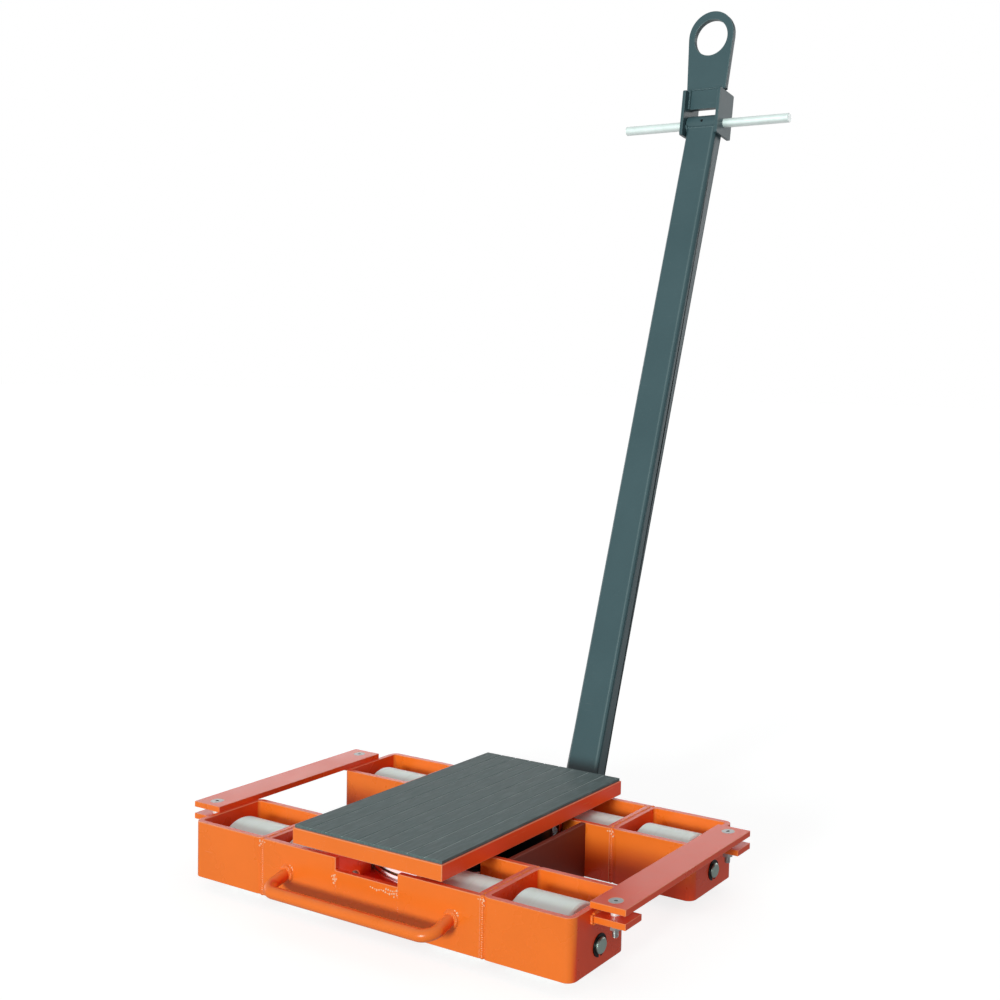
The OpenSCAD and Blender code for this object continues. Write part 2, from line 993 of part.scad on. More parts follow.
roller_box(-1, -1);  // box_front_left
roller_box(1, -1);  // box_front_right
roller_box(-1, 1);  // box_rear_left
roller_box(1, 1);  // box_rear_right
front_wall();
rear_wall();
inner_walls();
pocket_walls();
divider_plates();
cross_webs();
base_plate();
weld_beads();
carrying_handle();
tie_bar_lugs();
tie_bar(-1);  // tie_bar_left
tie_bar(1);  // tie_bar_right
tie_bar_bolts();
tie_bar_spacers();
tie_bar_washers();
tie_bar_nuts();
axles();
axle_clips();
axle_spacers();
bearing_inner_rings();
lower_race();
king_bolt();
king_nut();
hinge_lugs();
hinge_pin();
hinge_discs();
hinge_split_pin();
ball_cage();
race_balls();
load_plate();
rubber_pad();
turntable_hub();
upper_race();
roller(1);  // roller_1
roller(2);  // roller_2
roller(3);  // roller_3
roller(4);  // roller_4
roller(5);  // roller_5
roller(6);  // roller_6
roller(7);  // roller_7
roller(8);  // roller_8
bearings(1);  // bearings_1
bearings(2);  // bearings_2
bearings(3);  // bearings_3
bearings(4);  // bearings_4
bearings(5);  // bearings_5
bearings(6);  // bearings_6
bearings(7);  // bearings_7
bearings(8);  // bearings_8
drawbar_tube();
hinge_bush();
rod_sleeve();
pull_rod();
rod_lock_pin();
fork_cheeks();
towing_eye();
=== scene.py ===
import math

import bmesh
import bpy
from mathutils import Matrix, Vector


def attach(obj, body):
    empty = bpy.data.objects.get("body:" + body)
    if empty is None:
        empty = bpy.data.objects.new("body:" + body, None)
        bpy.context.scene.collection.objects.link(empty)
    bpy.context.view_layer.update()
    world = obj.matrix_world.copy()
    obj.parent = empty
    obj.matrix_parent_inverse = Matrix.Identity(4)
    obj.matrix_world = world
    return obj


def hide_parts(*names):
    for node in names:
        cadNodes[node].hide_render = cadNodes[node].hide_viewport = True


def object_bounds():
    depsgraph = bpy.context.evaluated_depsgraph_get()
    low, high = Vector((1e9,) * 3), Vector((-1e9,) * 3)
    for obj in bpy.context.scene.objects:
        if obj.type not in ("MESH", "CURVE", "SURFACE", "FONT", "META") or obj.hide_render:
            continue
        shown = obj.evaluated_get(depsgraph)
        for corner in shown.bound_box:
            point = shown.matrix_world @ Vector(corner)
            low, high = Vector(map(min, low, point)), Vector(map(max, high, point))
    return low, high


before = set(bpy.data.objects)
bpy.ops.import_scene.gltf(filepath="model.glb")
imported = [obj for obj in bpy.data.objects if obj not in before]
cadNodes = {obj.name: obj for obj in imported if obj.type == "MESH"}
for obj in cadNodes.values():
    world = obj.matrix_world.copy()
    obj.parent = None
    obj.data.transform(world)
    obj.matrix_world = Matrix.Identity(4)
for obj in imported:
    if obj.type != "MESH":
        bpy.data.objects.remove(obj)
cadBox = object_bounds()
mm = 0.001
scene = bpy.context.scene
print("frame loaded,", len(cadNodes), "nodes")


# Camera, at the viewpoint that the photo was taken from
cameraSetup = {
    "place": (1.13487, -1.41179, 0.58235),
    "azimuth": 28.622,
    "elevation": -2.956,
    "roll": 1.450,
    "focalLength": 46.66,
    "shift": (-0.2056, -0.0449),
}


def addCamera(setup):
    azimuth = math.radians(setup["azimuth"])
    elevation = math.radians(setup["elevation"])
    roll = math.radians(setup["roll"])
    forward = Vector((
        -math.sin(azimuth) * math.cos(elevation),
        math.cos(azimuth) * math.cos(elevation),
        math.sin(elevation),
    ))
    level = Vector((math.cos(azimuth), math.sin(azimuth), 0))
    upright = level.cross(forward)
    right = level * math.cos(roll) + upright * math.sin(roll)
    up = upright * math.cos(roll) - level * math.sin(roll)
    data = bpy.data.cameras.new("camera")
    data.lens = setup["focalLength"]
    data.sensor_width = 36
    data.shift_x, data.shift_y = setup["shift"]
    camera = bpy.data.objects.new("camera", data)
    turn = Matrix((right, up, -forward)).transposed().to_4x4()
    camera.matrix_world = Matrix.Translation(setup["place"]) @ turn
    scene.collection.objects.link(camera)
    scene.camera = camera


addCamera(cameraSetup)


# Shader helpers

class Nodes:
    # Short ways to add nodes to one tree and to link them
    def __init__(self, tree):
        self.tree = tree

    def add(self, kind, **values):
        node = self.tree.nodes.new(kind)
        for name, value in values.items():
            setattr(node, name, value)
        return node

    def join(self, source, target):
        self.tree.links.new(source, target)

    def put(self, target, value):
        if isinstance(value, bpy.types.NodeSocket):
            self.join(value, target)
        else:
            target.default_value = value

    def math(self, operation, first, second=None, third=None):
        node = self.add("ShaderNodeMath", operation=operation)
        for socket, value in zip(node.inputs, (first, second, third)):
            if value is not None:
                self.put(socket, value)
        return node.outputs[0]

    def mixColor(self, factor, first, second, blend="MIX"):
        node = self.add("ShaderNodeMix", data_type="RGBA", blend_type=blend)
        self.put(node.inputs[0], factor)
        self.put(node.inputs[6], first)
        self.put(node.inputs[7], second)
        return node.outputs[2]

    def mixFloat(self, factor, first, second):
        node = self.add("ShaderNodeMix", data_type="FLOAT")
        self.put(node.inputs[0], factor)
        self.put(node.inputs[2], first)
        self.put(node.inputs[3], second)
        return node.outputs[0]

    def noise(self, vector, scale, detail=3.0, roughness=0.5):
        node = self.add("ShaderNodeTexNoise")
        self.join(vector, node.inputs["Vector"])
        self.put(node.inputs["Scale"], scale)
        self.put(node.inputs["Detail"], detail)
        self.put(node.inputs["Roughness"], roughness)
        return node.outputs["Fac"]

    def stretched(self, vector, scale):
        node = self.add("ShaderNodeMapping")
        self.join(vector, node.inputs["Vector"])
        node.inputs["Scale"].default_value = scale
        return node.outputs[0]

    def ramp(self, value, low, high):
        node = self.add("ShaderNodeMapRange")
        self.put(node.inputs["Value"], value)
        self.put(node.inputs["From Min"], low)
        self.put(node.inputs["From Max"], high)
        return node.outputs[0]


def shaderGroup(name, inputs, outputs):
    tree = bpy.data.node_groups.new(name, "ShaderNodeTree")
    kinds = {float: "NodeSocketFloat", tuple: "NodeSocketColor"}
    for label, value in inputs.items():
        socket = tree.interface.new_socket(
            name=label, in_out="INPUT", socket_type=kinds[type(value)])
        socket.default_value = value
    for label, kind in outputs.items():
        tree.interface.new_socket(name=label, in_out="OUTPUT", socket_type=kinds[kind])
    made = Nodes(tree)
    return made, made.add("NodeGroupInput").outputs, made.add("NodeGroupOutput").inputs


# Group: slow colour change, fine grain and a few stains, for any finish
def makeSurfaceChange():
    n, given, result = shaderGroup(
        "surface change",
        {"Color": (1.0, 1.0, 1.0, 1.0), "Variation": 0.05, "Patch Size": 0.05, "Grain Size": 0.002},
        {"Color": tuple, "Patches": float, "Grain": float},
    )
    place = n.add("ShaderNodeTexCoord").outputs["Object"]
    patches = n.noise(place, n.math("DIVIDE", 1.0, given["Patch Size"]), 4.0, 0.6)
    grain = n.noise(place, n.math("DIVIDE", 1.0, given["Grain Size"]), 2.0)
    swing = n.math("MULTIPLY", n.math("SUBTRACT", patches, 0.5), given["Variation"])
    bright = n.math("ADD", 1.0, n.math("MULTIPLY", swing, 4.0))
    shade = n.add("ShaderNodeCombineColor")
    for socket in shade.inputs:
        n.join(bright, socket)
    n.join(n.mixColor(1.0, given["Color"], shade.outputs[0], "MULTIPLY"), result["Color"])
    n.join(patches, result["Patches"])
    n.join(grain, result["Grain"])
    return n.tree


# Group: chips along the edges that the bevels mark, and the bevels themselves for a lighter colour:
# partly rubbed paint, partly a painted edge highlight
def makeEdgeWear():
    n, given, result = shaderGroup(
        "edge wear",
        {"Chip Size": 0.004, "Amount": 0.3},
        {"Rubbed": float, "Chips": float},
    )
    place = n.add("ShaderNodeTexCoord").outputs["Object"]
    edge = n.add("ShaderNodeAttribute", attribute_name="edge").outputs["Fac"]
    spots = n.noise(place, n.math("DIVIDE", 1.0, given["Chip Size"]), 5.0, 0.65)
    level = n.math("SUBTRACT", 0.78, n.math("MULTIPLY", given["Amount"], 0.4))
    chips = n.ramp(spots, level, n.math("ADD", level, 0.04))
    n.join(n.math("MULTIPLY", chips, edge), result["Chips"])
    n.join(edge, result["Rubbed"])
    return n.tree


# Group: hair scratches that run about along one direction
def makeScratches():
    n, given, result = shaderGroup(
        "scratches",
        {"Amount": 0.3, "Length": 0.05},
        {"Scratches": float},
    )
    place = n.add("ShaderNodeTexCoord").outputs["Object"]
    marks = None
    for stretch in ((1.0, 24.0, 24.0), (30.0, 1.4, 18.0)):
        fineness = n.math("DIVIDE", 1.0, given["Length"])
        lines = n.noise(n.stretched(place, stretch), fineness, 2.0, 0.4)
        level = n.math("SUBTRACT", 0.82, n.math("MULTIPLY", given["Amount"], 0.3))
        found = n.ramp(lines, level, n.math("ADD", level, 0.05))
        marks = found if marks is None else n.math("MAXIMUM", marks, found)
    n.join(marks, result["Scratches"])
    return n.tree


# Group: dust that settles on faces that look up
def makeDust():
    n, given, result = shaderGroup("dust", {"Amount": 0.2, "Patch Size": 0.03}, {"Dust": float})
    place = n.add("ShaderNodeTexCoord").outputs["Object"]
    split = n.add("ShaderNodeSeparateXYZ")
    n.join(n.add("ShaderNodeNewGeometry").outputs["Normal"], split.inputs[0])
    facing = n.ramp(split.outputs["Z"], 0.4, 1.0)
    cloud = n.ramp(n.noise(place, n.math("DIVIDE", 1.0, given["Patch Size"]), 6.0, 0.7), 0.35, 0.7)
    n.join(n.math("MULTIPLY", n.math("MULTIPLY", facing, cloud), given["Amount"]), result["Dust"])
    return n.tree


groups = {
    "surface": makeSurfaceChange(),
    "wear": makeEdgeWear(),
    "scratches": makeScratches(),
    "dust": makeDust(),
}


def startMaterial(name):
    material = bpy.data.materials.new(name)
    material.use_nodes = True
    n = Nodes(material.node_tree)
    shader = n.tree.nodes["Principled BSDF"]
    return material, n, shader


def useGroup(n, name, **values):
    node = n.add("ShaderNodeGroup", node_tree=groups[name])
    for label, value in values.items():
        n.put(node.inputs[label.replace("_", " ")], value)
    return node.outputs


def bumpFrom(n, shader, height, distance, strength=1.0):
    bump = n.add("ShaderNodeBump")
    bump.inputs["Strength"].default_value = strength
    bump.inputs["Distance"].default_value = distance
    n.join(height, bump.inputs["Height"])
    n.join(bump.outputs["Normal"], shader.inputs["Normal"])


# Paint over steel: gloss with a light orange peel, lighter edges (partly rubbed paint, partly
# painted highlight), a few scratches and dust, and painted shade: a deeper colour on faces that
# don't face ±Y and low down inside the frame
# facing, inside and low place the painted shade; chipped and dust are wear colours
paintShadeAndWear = {
    "facing": (0.01, 0.25), "inside": (0.197, 0.191), "low": (-0.050, -0.095),
    "chipped": (0.32, 0.30, 0.29, 1), "dust": (0.62, 0.55, 0.50, 1),
}
# In each look, the painted shade colour is what the painted shade mixes to: a redder orange on the
# frame and the plate
paintLooks = {
    "frame paint": {"color": (0.90, 0.170, 0.016, 1), "deep": (0.88, 0.066, 0.010, 1),
                    "rubbed": (0.92, 0.36, 0.20, 1), "roughness": 0.28, "chips": 0.22,
                    "scratches": 0.25, "dust": 0.10},
    "plate paint": {"color": (0.90, 0.174, 0.018, 1), "deep": (1.0, 0.080, 0.014, 1),
                    "rubbed": (0.92, 0.36, 0.20, 1), "roughness": 0.32, "chips": 0.30,
                    "scratches": 0.45, "dust": 0.10},
    # Near-black red for the cross webs: painted shade for the dark hollow under the load plate
    "painted shade web": {"color": (0.17, 0.018, 0.006, 1), "deep": (0.17, 0.018, 0.006, 1),
                    "rubbed": (0.24, 0.04, 0.02, 1), "roughness": 0.5, "chips": 0.10,
                    "scratches": 0.25, "dust": 0.02},
    # Pale, glossy paint for the small weld spots: a painted highlight where the welds glint
    "painted weld highlight": {"color": (0.95, 0.50, 0.30, 1), "deep": (0.95, 0.42, 0.26, 1),
                   "rubbed": (0.95, 0.66, 0.50, 1), "roughness": 0.22, "chips": 0.10,
                   "scratches": 0.10, "dust": 0.05},
    "drawbar paint": {"color": (0.046, 0.088, 0.102, 1), "deep": (0.046, 0.088, 0.102, 1),
                      "rubbed": (0.13, 0.18, 0.19, 1), "roughness": 0.36, "chips": 0.16,
                      "scratches": 0.35, "dust": 0.05},
}


def paint(name, look):
    material, n, shader = startMaterial(name)
    # Painted shade: faces that don't face ±Y (the ends and the tops) take the deeper colour, and so
    # do faces low down inside the frame
    split = n.add("ShaderNodeSeparateXYZ")
    n.join(n.add("ShaderNodeTexCoord").outputs["Normal"], split.inputs[0])
    unshadedShare = n.ramp(n.math("ABSOLUTE", split.outputs["Y"]), *paintShadeAndWear["facing"])
    place = n.add("ShaderNodeSeparateXYZ")
    n.join(n.add("ShaderNodeTexCoord").outputs["Object"], place.inputs[0])
    inside = n.ramp(n.math("ABSOLUTE", place.outputs["Y"]), *paintShadeAndWear["inside"])
    low = n.ramp(place.outputs["Z"], *paintShadeAndWear["low"])
    unshadedShare = n.math("SUBTRACT", unshadedShare, n.math("MULTIPLY", inside, low))
    coatWithPaintedShade = n.mixColor(n.math("MAXIMUM", unshadedShare, 0.0), look["deep"], look["color"])
    change = useGroup(n, "surface", Color=coatWithPaintedShade, Variation=0.035, Patch_Size=0.09,
                      Grain_Size=0.0022)
    wear = useGroup(n, "wear", Chip_Size=0.006, Amount=look["chips"])
    scratches = useGroup(n, "scratches", Amount=look["scratches"], Length=0.06)["Scratches"]
    dust = useGroup(n, "dust", Amount=look["dust"], Patch_Size=0.05)["Dust"]
    # Every bevel goes 55% of the way to the lighter colour: partly rubbed paint, partly a painted
    # edge highlight
    rubbed = n.math("MULTIPLY", wear["Rubbed"], 0.55)
    color = n.mixColor(rubbed, change["Color"], look["rubbed"])
    color = n.mixColor(n.math("MULTIPLY", scratches, 0.25), color, look["rubbed"])
    color = n.mixColor(n.math("MULTIPLY", wear["Chips"], 0.8), color, paintShadeAndWear["chipped"])
    color = n.mixColor(dust, color, paintShadeAndWear["dust"])
    n.join(color, shader.inputs["Base Color"])
    patches = n.math("SUBTRACT", change["Patches"], 0.5)
    rough = n.math("MULTIPLY_ADD", patches, 0.16, look["roughness"])
    rough = n.math("ADD", rough, n.math("MULTIPLY", dust, 0.8))
    rough = n.math("ADD", rough, n.math("MULTIPLY", scratches, 0.12))
    n.join(rough, shader.inputs["Roughness"])
    height = n.math("SUBTRACT", change["Grain"], n.math("MULTIPLY", scratches, 0.5))
    height = n.math("SUBTRACT", height, n.math("MULTIPLY", wear["Chips"], 2.0))
    bumpFrom(n, shader, height, 0.00006, 0.6)
    return material


# Metal parts: plated, bright, turned, ground or blackened steel, and brass
metalLooks = {
    "zinc plate": {"color": (0.50, 0.51, 0.51, 1), "roughness": 0.40, "metallic": 1.0,
                   "lines": (1, 1, 1), "bump": 0.4},
    "bright steel": {"color": (0.94, 1.0, 0.99, 1), "roughness": 0.40, "metallic": 0.4,
                     "lines": (1, 12, 12), "bump": 0.4},
    "turned steel": {"color": (0.40, 0.49, 0.45, 1), "roughness": 0.34, "metallic": 1.0,
                     "lines": (12, 1, 1), "bump": 0.5},
    "ground steel": {"color": (0.86, 0.87, 0.89, 1), "roughness": 0.18, "metallic": 1.0,
                     "lines": (1, 1, 16), "bump": 0.5},
    "black steel": {"color": (0.022, 0.022, 0.024, 1), "roughness": 0.38, "metallic": 1.0,
                    "lines": (1, 1, 1), "bump": 0.6},
    "cage brass": {"color": (0.62, 0.44, 0.16, 1), "roughness": 0.30, "metallic": 1.0,
                   "lines": (1, 1, 1), "bump": 0.4},
}


def metal(name, look):
    material, n, shader = startMaterial(name)
    place = n.add("ShaderNodeTexCoord").outputs["Object"]
    change = useGroup(n, "surface", Color=look["color"], Variation=0.06, Patch_Size=0.012,
                      Grain_Size=0.0009)
    lines = n.noise(n.stretched(place, look["lines"]), 900.0, 3.0, 0.6)
    scratches = useGroup(n, "scratches", Amount=0.3, Length=0.02)["Scratches"]
    n.join(change["Color"], shader.inputs["Base Color"])
    rough = n.math("MULTIPLY_ADD", change["Patches"], 0.22, look["roughness"] - 0.08)
    rough = n.math("ADD", rough, n.math("MULTIPLY", scratches, 0.15))
    n.join(rough, shader.inputs["Roughness"])
    shader.inputs["Metallic"].default_value = look["metallic"]
    height = n.math("SUBTRACT", n.math("ADD", change["Grain"], lines), scratches)
    bumpFrom(n, shader, height, 0.00003, look["bump"])
    return material


# Nylon of the rollers: off-white, turned, with grey running marks
nylonLook = {"color": (0.94, 1.0, 0.96, 1), "grime": (0.50, 0.52, 0.44, 1), "roughness": 0.42}


def nylon(name, look):
    material, n, shader = startMaterial(name)
    place = n.add("ShaderNodeTexCoord").outputs["Object"]
    change = useGroup(n, "surface", Color=look["color"], Variation=0.03, Patch_Size=0.03,
                      Grain_Size=0.0012)
    turned = n.noise(n.stretched(place, (1, 0.02, 0.02)), 1400.0, 2.0, 0.6)
    bands = n.noise(n.stretched(place, (1, 0.1, 0.1)), 130.0, 3.0, 0.6)
    rubbed = n.math("MULTIPLY", n.ramp(bands, 0.52, 0.8), 0.22)
    n.join(n.mixColor(rubbed, change["Color"], look["grime"]), shader.inputs["Base Color"])
    rough = n.math("MULTIPLY_ADD", turned, 0.18, look["roughness"] - 0.08)
    n.join(rough, shader.inputs["Roughness"])
    shader.inputs["Subsurface Weight"].default_value = 0.15
    shader.inputs["Subsurface Radius"].default_value = (0.004, 0.004, 0.003)
    shader.inputs["Subsurface Scale"].default_value = 1.0
    bumpFrom(n, shader, n.math("ADD", turned, change["Grain"]), 0.00004, 0.8)
    return material


# Rubber of the pad, with dust in its grain and paler rubbed ribs
rubberLook = {"color": (0.076, 0.112, 0.114, 1), "dusty": (0.22, 0.28, 0.28, 1),
              "groovePale": (0.44, 0.50, 0.50, 1), "roughness": 0.62}


def rubber(name, look):
    material, n, shader = startMaterial(name)
    place = n.add("ShaderNodeTexCoord").outputs["Object"]
    change = useGroup(n, "surface", Color=look["color"], Variation=0.12, Patch_Size=0.035,
                      Grain_Size=0.0011)
    along = n.noise(n.stretched(place, (10, 1, 1)), 30.0, 6.0, 0.7)
    edge = n.add("ShaderNodeAttribute", attribute_name="edge").outputs["Fac"]
    scuffs = n.math("MULTIPLY", n.ramp(along, 0.46, 0.72), 0.45)
    color = n.mixColor(scuffs, change["Color"], look["dusty"])
    color = n.mixColor(n.math("MULTIPLY", edge, 0.35), color, look["dusty"])
    # Groove floors go paler in streaks
    groove = n.add("ShaderNodeAttribute", attribute_name="groove").outputs["Fac"]
    groovePale = n.ramp(n.noise(n.stretched(place, (4, 1, 1)), 45.0, 4.0), 0.10, 0.45)
    color = n.mixColor(n.math("MULTIPLY", groove, groovePale), color, look["groovePale"])
    n.join(color, shader.inputs["Base Color"])
    rough = n.math("MULTIPLY_ADD", change["Patches"], 0.2, look["roughness"] - 0.1)
    n.join(rough, shader.inputs["Roughness"])
    bumpFrom(n, shader, n.math("ADD", change["Grain"], along), 0.00012, 0.7)
    return material


materials = {name: paint(name, look) for name, look in paintLooks.items()}
materials.update({name: metal(name, look) for name, look in metalLooks.items()})
materials["nylon"] = nylon("nylon", nylonLook)
materials["pad rubber"] = rubber("pad rubber", rubberLook)
print("materials made:", len(materials))


# Mesh helpers

def newObject(name, mesh):
    made = bpy.data.objects.new(name, mesh)
    scene.collection.objects.link(made)
    return made


def keepResult(made):
    # The mesh with its modifiers applied, and the modifiers gone
    bpy.context.view_layer.update()
    graph = bpy.context.evaluated_depsgraph_get()
    mesh = bpy.data.meshes.new_from_object(made.evaluated_get(graph), depsgraph=graph)
    made.modifiers.clear()
    made.data = mesh
    return made


def markEdges(mesh, materialName):
    # Faces that a bevel made carry 1 in the attribute that the paint reads
    edge = mesh.attributes.new("edge", "FLOAT", "FACE")
    edge.data.foreach_set("value", [float(p.material_index > 0) for p in mesh.polygons])
    mesh.materials.clear()
    mesh.materials.append(materials[materialName])
    mesh.polygons.foreach_set("material_index", [0] * len(mesh.polygons))


def roundEdges(made, width, materialName, segments=3, angle=35):
    mesh = made.data
    mesh.materials.clear()
    for _ in range(2):
        mesh.materials.append(materials[materialName])
    mesh.polygons.foreach_set("material_index", [0] * len(mesh.polygons))
    mesh.polygons.foreach_set("use_smooth", [True] * len(mesh.polygons))
    bevel = made.modifiers.new("bevel", "BEVEL")
    bevel.width = width
    bevel.segments = segments
    bevel.limit_method = "ANGLE"
    bevel.angle_limit = math.radians(angle)
    bevel.material = 1
    weighted = made.modifiers.new("weighted", "WEIGHTED_NORMAL")
    weighted.keep_sharp = True
    keepResult(made)
    markEdges(made.data, materialName)


def ridesAs(made, body, materialName, *replaced):
    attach(made, body)
    if replaced:
        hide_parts(*replaced)
    return made


def dressed(name, node, body, materialName, width=0.8, segments=3):
    # A piece on the node's own shape, with its edges rounded
    mesh = cadNodes[node].data.copy()
    work = bmesh.new()
    work.from_mesh(mesh)
    bmesh.ops.remove_doubles(work, verts=work.verts, dist=0.002 * mm)
    bmesh.ops.dissolve_limit(
        work, angle_limit=math.radians(1.0), verts=work.verts, edges=work.edges,
        use_dissolve_boundaries=False,
    )
    work.to_mesh(mesh)
    work.free()
    made = newObject(name, mesh)
    roundEdges(made, width * mm, materialName, segments)
    return ridesAs(made, body, materialName, node)


# Geometry Nodes trees for what repeats or follows a line

def geometryTree(name, inputs):
    tree = bpy.data.node_groups.new(name, "GeometryNodeTree")
    kinds = {float: "NodeSocketFloat", int: "NodeSocketInt"}
    tree.interface.new_socket(name="Geometry", in_out="INPUT", socket_type="NodeSocketGeometry")
    for label, value in inputs.items():
        socket = tree.interface.new_socket(
            name=label, in_out="INPUT", socket_type=kinds[type(value)])
        socket.default_value = value
    tree.interface.new_socket(name="Geometry", in_out="OUTPUT", socket_type="NodeSocketGeometry")
    n = Nodes(tree)
    return n, n.add("NodeGroupInput").outputs, n.add("NodeGroupOutput").inputs


def finishTree(n, shape, result):
    # Every tree ends as one real, smooth mesh with its material
    real = n.add("GeometryNodeRealizeInstances")
    n.join(shape, real.inputs[0])
    smooth = n.add("GeometryNodeSetShadeSmooth")
    n.join(real.outputs[0], smooth.inputs[0])
    given = n.add("GeometryNodeSetMaterial")
    n.join(smooth.outputs[0], given.inputs["Geometry"])
    n.join(given.outputs[0], result[0])
    return n.tree


def scaleOf(n, x, y, z):
    node = n.add("ShaderNodeCombineXYZ")
    for socket, value in zip(node.inputs, (x, y, z)):
        n.put(socket, value)
    return node.outputs[0]


# Tree: a weld bead as overlapping ripples along each line
def makeWeldTree():
    n, given, result = geometryTree(
        "weld bead",
        {"Pitch": 0.0025, "Radius": 0.003, "Overlap": 1.15, "Unevenness": 0.12, "Seed": 1},
    )
    line = n.add("GeometryNodeMeshToCurve")
    n.join(given["Geometry"], line.inputs[0])
    points = n.add("GeometryNodeResampleCurve", mode="LENGTH")
    n.join(line.outputs[0], points.inputs[0])
    n.join(given["Pitch"], points.inputs["Length"])
    drop = n.add("GeometryNodeMeshUVSphere")
    drop.inputs["Segments"].default_value = 10
    drop.inputs["Rings"].default_value = 7
    drop.inputs["Radius"].default_value = 1.0
    turn = n.add("FunctionNodeAlignRotationToVector", axis="X")
    n.join(n.add("GeometryNodeInputTangent").outputs[0], turn.inputs["Vector"])
    chance = n.add("FunctionNodeRandomValue", data_type="FLOAT")
    n.join(n.math("SUBTRACT", 1.0, given["Unevenness"]), chance.inputs[2])
    n.join(n.math("ADD", 1.0, given["Unevenness"]), chance.inputs[3])
    n.join(given["Seed"], chance.inputs["Seed"])
    across = n.math("MULTIPLY", given["Radius"], chance.outputs[1])
    drops = n.add("GeometryNodeInstanceOnPoints")
    n.join(points.outputs[0], drops.inputs["Points"])
    n.join(drop.outputs["Mesh"], drops.inputs["Instance"])
    n.join(turn.outputs[0], drops.inputs["Rotation"])
    n.join(scaleOf(n, n.math("MULTIPLY", given["Pitch"], given["Overlap"]), across, across),
           drops.inputs["Scale"])
    return finishTree(n, drops.outputs[0], result)


# Tree: a round bar along each line, with its corners bent
def makeBarTree():
    n, given, result = geometryTree("bent bar", {"Radius": 0.008, "Bend": 0.018, "Sides": 40})
    line = n.add("GeometryNodeMeshToCurve")
    n.join(given["Geometry"], line.inputs[0])
    bent = n.add("GeometryNodeFilletCurve")
    bent.mode = "POLY"
    n.join(line.outputs[0], bent.inputs["Curve"])
    bent.inputs["Count"].default_value = 14
    n.join(given["Bend"], bent.inputs["Radius"])
    ring = n.add("GeometryNodeCurvePrimitiveCircle")
    n.join(given["Sides"], ring.inputs["Resolution"])
    n.join(given["Radius"], ring.inputs["Radius"])
    bar = n.add("GeometryNodeCurveToMesh")
    n.join(bent.outputs[0], bar.inputs["Curve"])
    n.join(ring.outputs["Curve"], bar.inputs["Profile Curve"])
    bar.inputs["Fill Caps"].default_value = True
    return finishTree(n, bar.outputs[0], result)


# Tree: a screw thread upward from each point
def makeThreadTree():
    n, given, result = geometryTree(
        "screw thread", {"Radius": 0.004, "Pitch": 0.00125, "Length": 0.01})
    coil = n.add("GeometryNodeCurveSpiral")
    coil.inputs["Resolution"].default_value = 20
    n.join(n.math("DIVIDE", given["Length"], given["Pitch"]), coil.inputs["Rotations"])
    depth = n.math("MULTIPLY", given["Pitch"], 0.42)
    middle = n.math("SUBTRACT", given["Radius"], depth)
    n.join(middle, coil.inputs["Start Radius"])
    n.join(middle, coil.inputs["End Radius"])
    n.join(given["Length"], coil.inputs["Height"])
    ring = n.add("GeometryNodeCurvePrimitiveCircle")
    ring.inputs["Resolution"].default_value = 6
    n.join(depth, ring.inputs["Radius"])
    ridge = n.add("GeometryNodeCurveToMesh")
    n.join(coil.outputs[0], ridge.inputs["Curve"])
    n.join(ring.outputs["Curve"], ridge.inputs["Profile Curve"])
    ridge.inputs["Fill Caps"].default_value = True
    each = n.add("GeometryNodeInstanceOnPoints")
    n.join(given["Geometry"], each.inputs["Points"])
    n.join(ridge.outputs[0], each.inputs["Instance"])
    return finishTree(n, each.outputs[0], result)


# Tree: balls in a circle round the turntable's axis
def makeBallTree():
    n, given, result = geometryTree(
        "ball ring", {"Count": 24, "Circle": 0.115, "Ball": 0.005, "Level": 0.0})
    circle = n.add("GeometryNodeMeshCircle")
    n.join(given["Count"], circle.inputs["Vertices"])
    n.join(given["Circle"], circle.inputs["Radius"])
    ball = n.add("GeometryNodeMeshUVSphere")
    ball.inputs["Segments"].default_value = 28
    ball.inputs["Rings"].default_value = 14
    n.join(given["Ball"], ball.inputs["Radius"])
    each = n.add("GeometryNodeInstanceOnPoints")
    n.join(circle.outputs[0], each.inputs["Points"])
    n.join(ball.outputs["Mesh"], each.inputs["Instance"])
    lifted = n.add("GeometryNodeTransform")
    n.join(each.outputs[0], lifted.inputs["Geometry"])
    n.join(scaleOf(n, 0.0, 0.0, given["Level"]), lifted.inputs["Translation"])
    return finishTree(n, lifted.outputs[0], result)


trees = {
    "weld": makeWeldTree(), "bar": makeBarTree(),
    "thread": makeThreadTree(), "balls": makeBallTree(),
}


def grown(name, tree, lines, body, materialName, replaced=(), **values):
    # A piece that a tree grows on lines of points, given in millimetres
    vertices, edges = [], []
    for line in lines:
        start = len(vertices)
        vertices += [Vector(point) * mm for point in line]
        edges += [(start + i, start + i + 1) for i in range(len(line) - 1)]
    mesh = bpy.data.meshes.new(name)
    mesh.from_pydata(vertices, edges, [])
    made = newObject(name, mesh)
    modifier = made.modifiers.new(tree, "NODES")
    setMaterial = [x for x in trees[tree].nodes if x.bl_idname == "GeometryNodeSetMaterial"][0]
    setMaterial.inputs["Material"].default_value = materials[materialName]
    modifier.node_group = trees[tree]
    for item in trees[tree].interface.items_tree:
        if item.in_out == "INPUT" and item.name in values:
            modifier[item.identifier] = values[item.name]
    keepResult(made)
    ridesAs(made, body, materialName, *replaced)
    return made


# Painted plates of the frame
frameBody = "skate_frame"
framePlates = {
    "edgeRadius": 0.9,
    "boxes": ("box_front_left", "box_front_right", "box_rear_left", "box_rear_right"),
    "plates": ("front_wall", "rear_wall", "inner_walls", "pocket_walls", "divider_plates",
               "base_plate"),
    "fittings": ("tie_bar_lugs", "tie_bar_left", "tie_bar_right", "hinge_lugs"),
    "others": ("weld_beads",),
}


def pieceName(node):
    first, *rest = node.split("_")
    return first + "".join(word.capitalize() for word in rest)


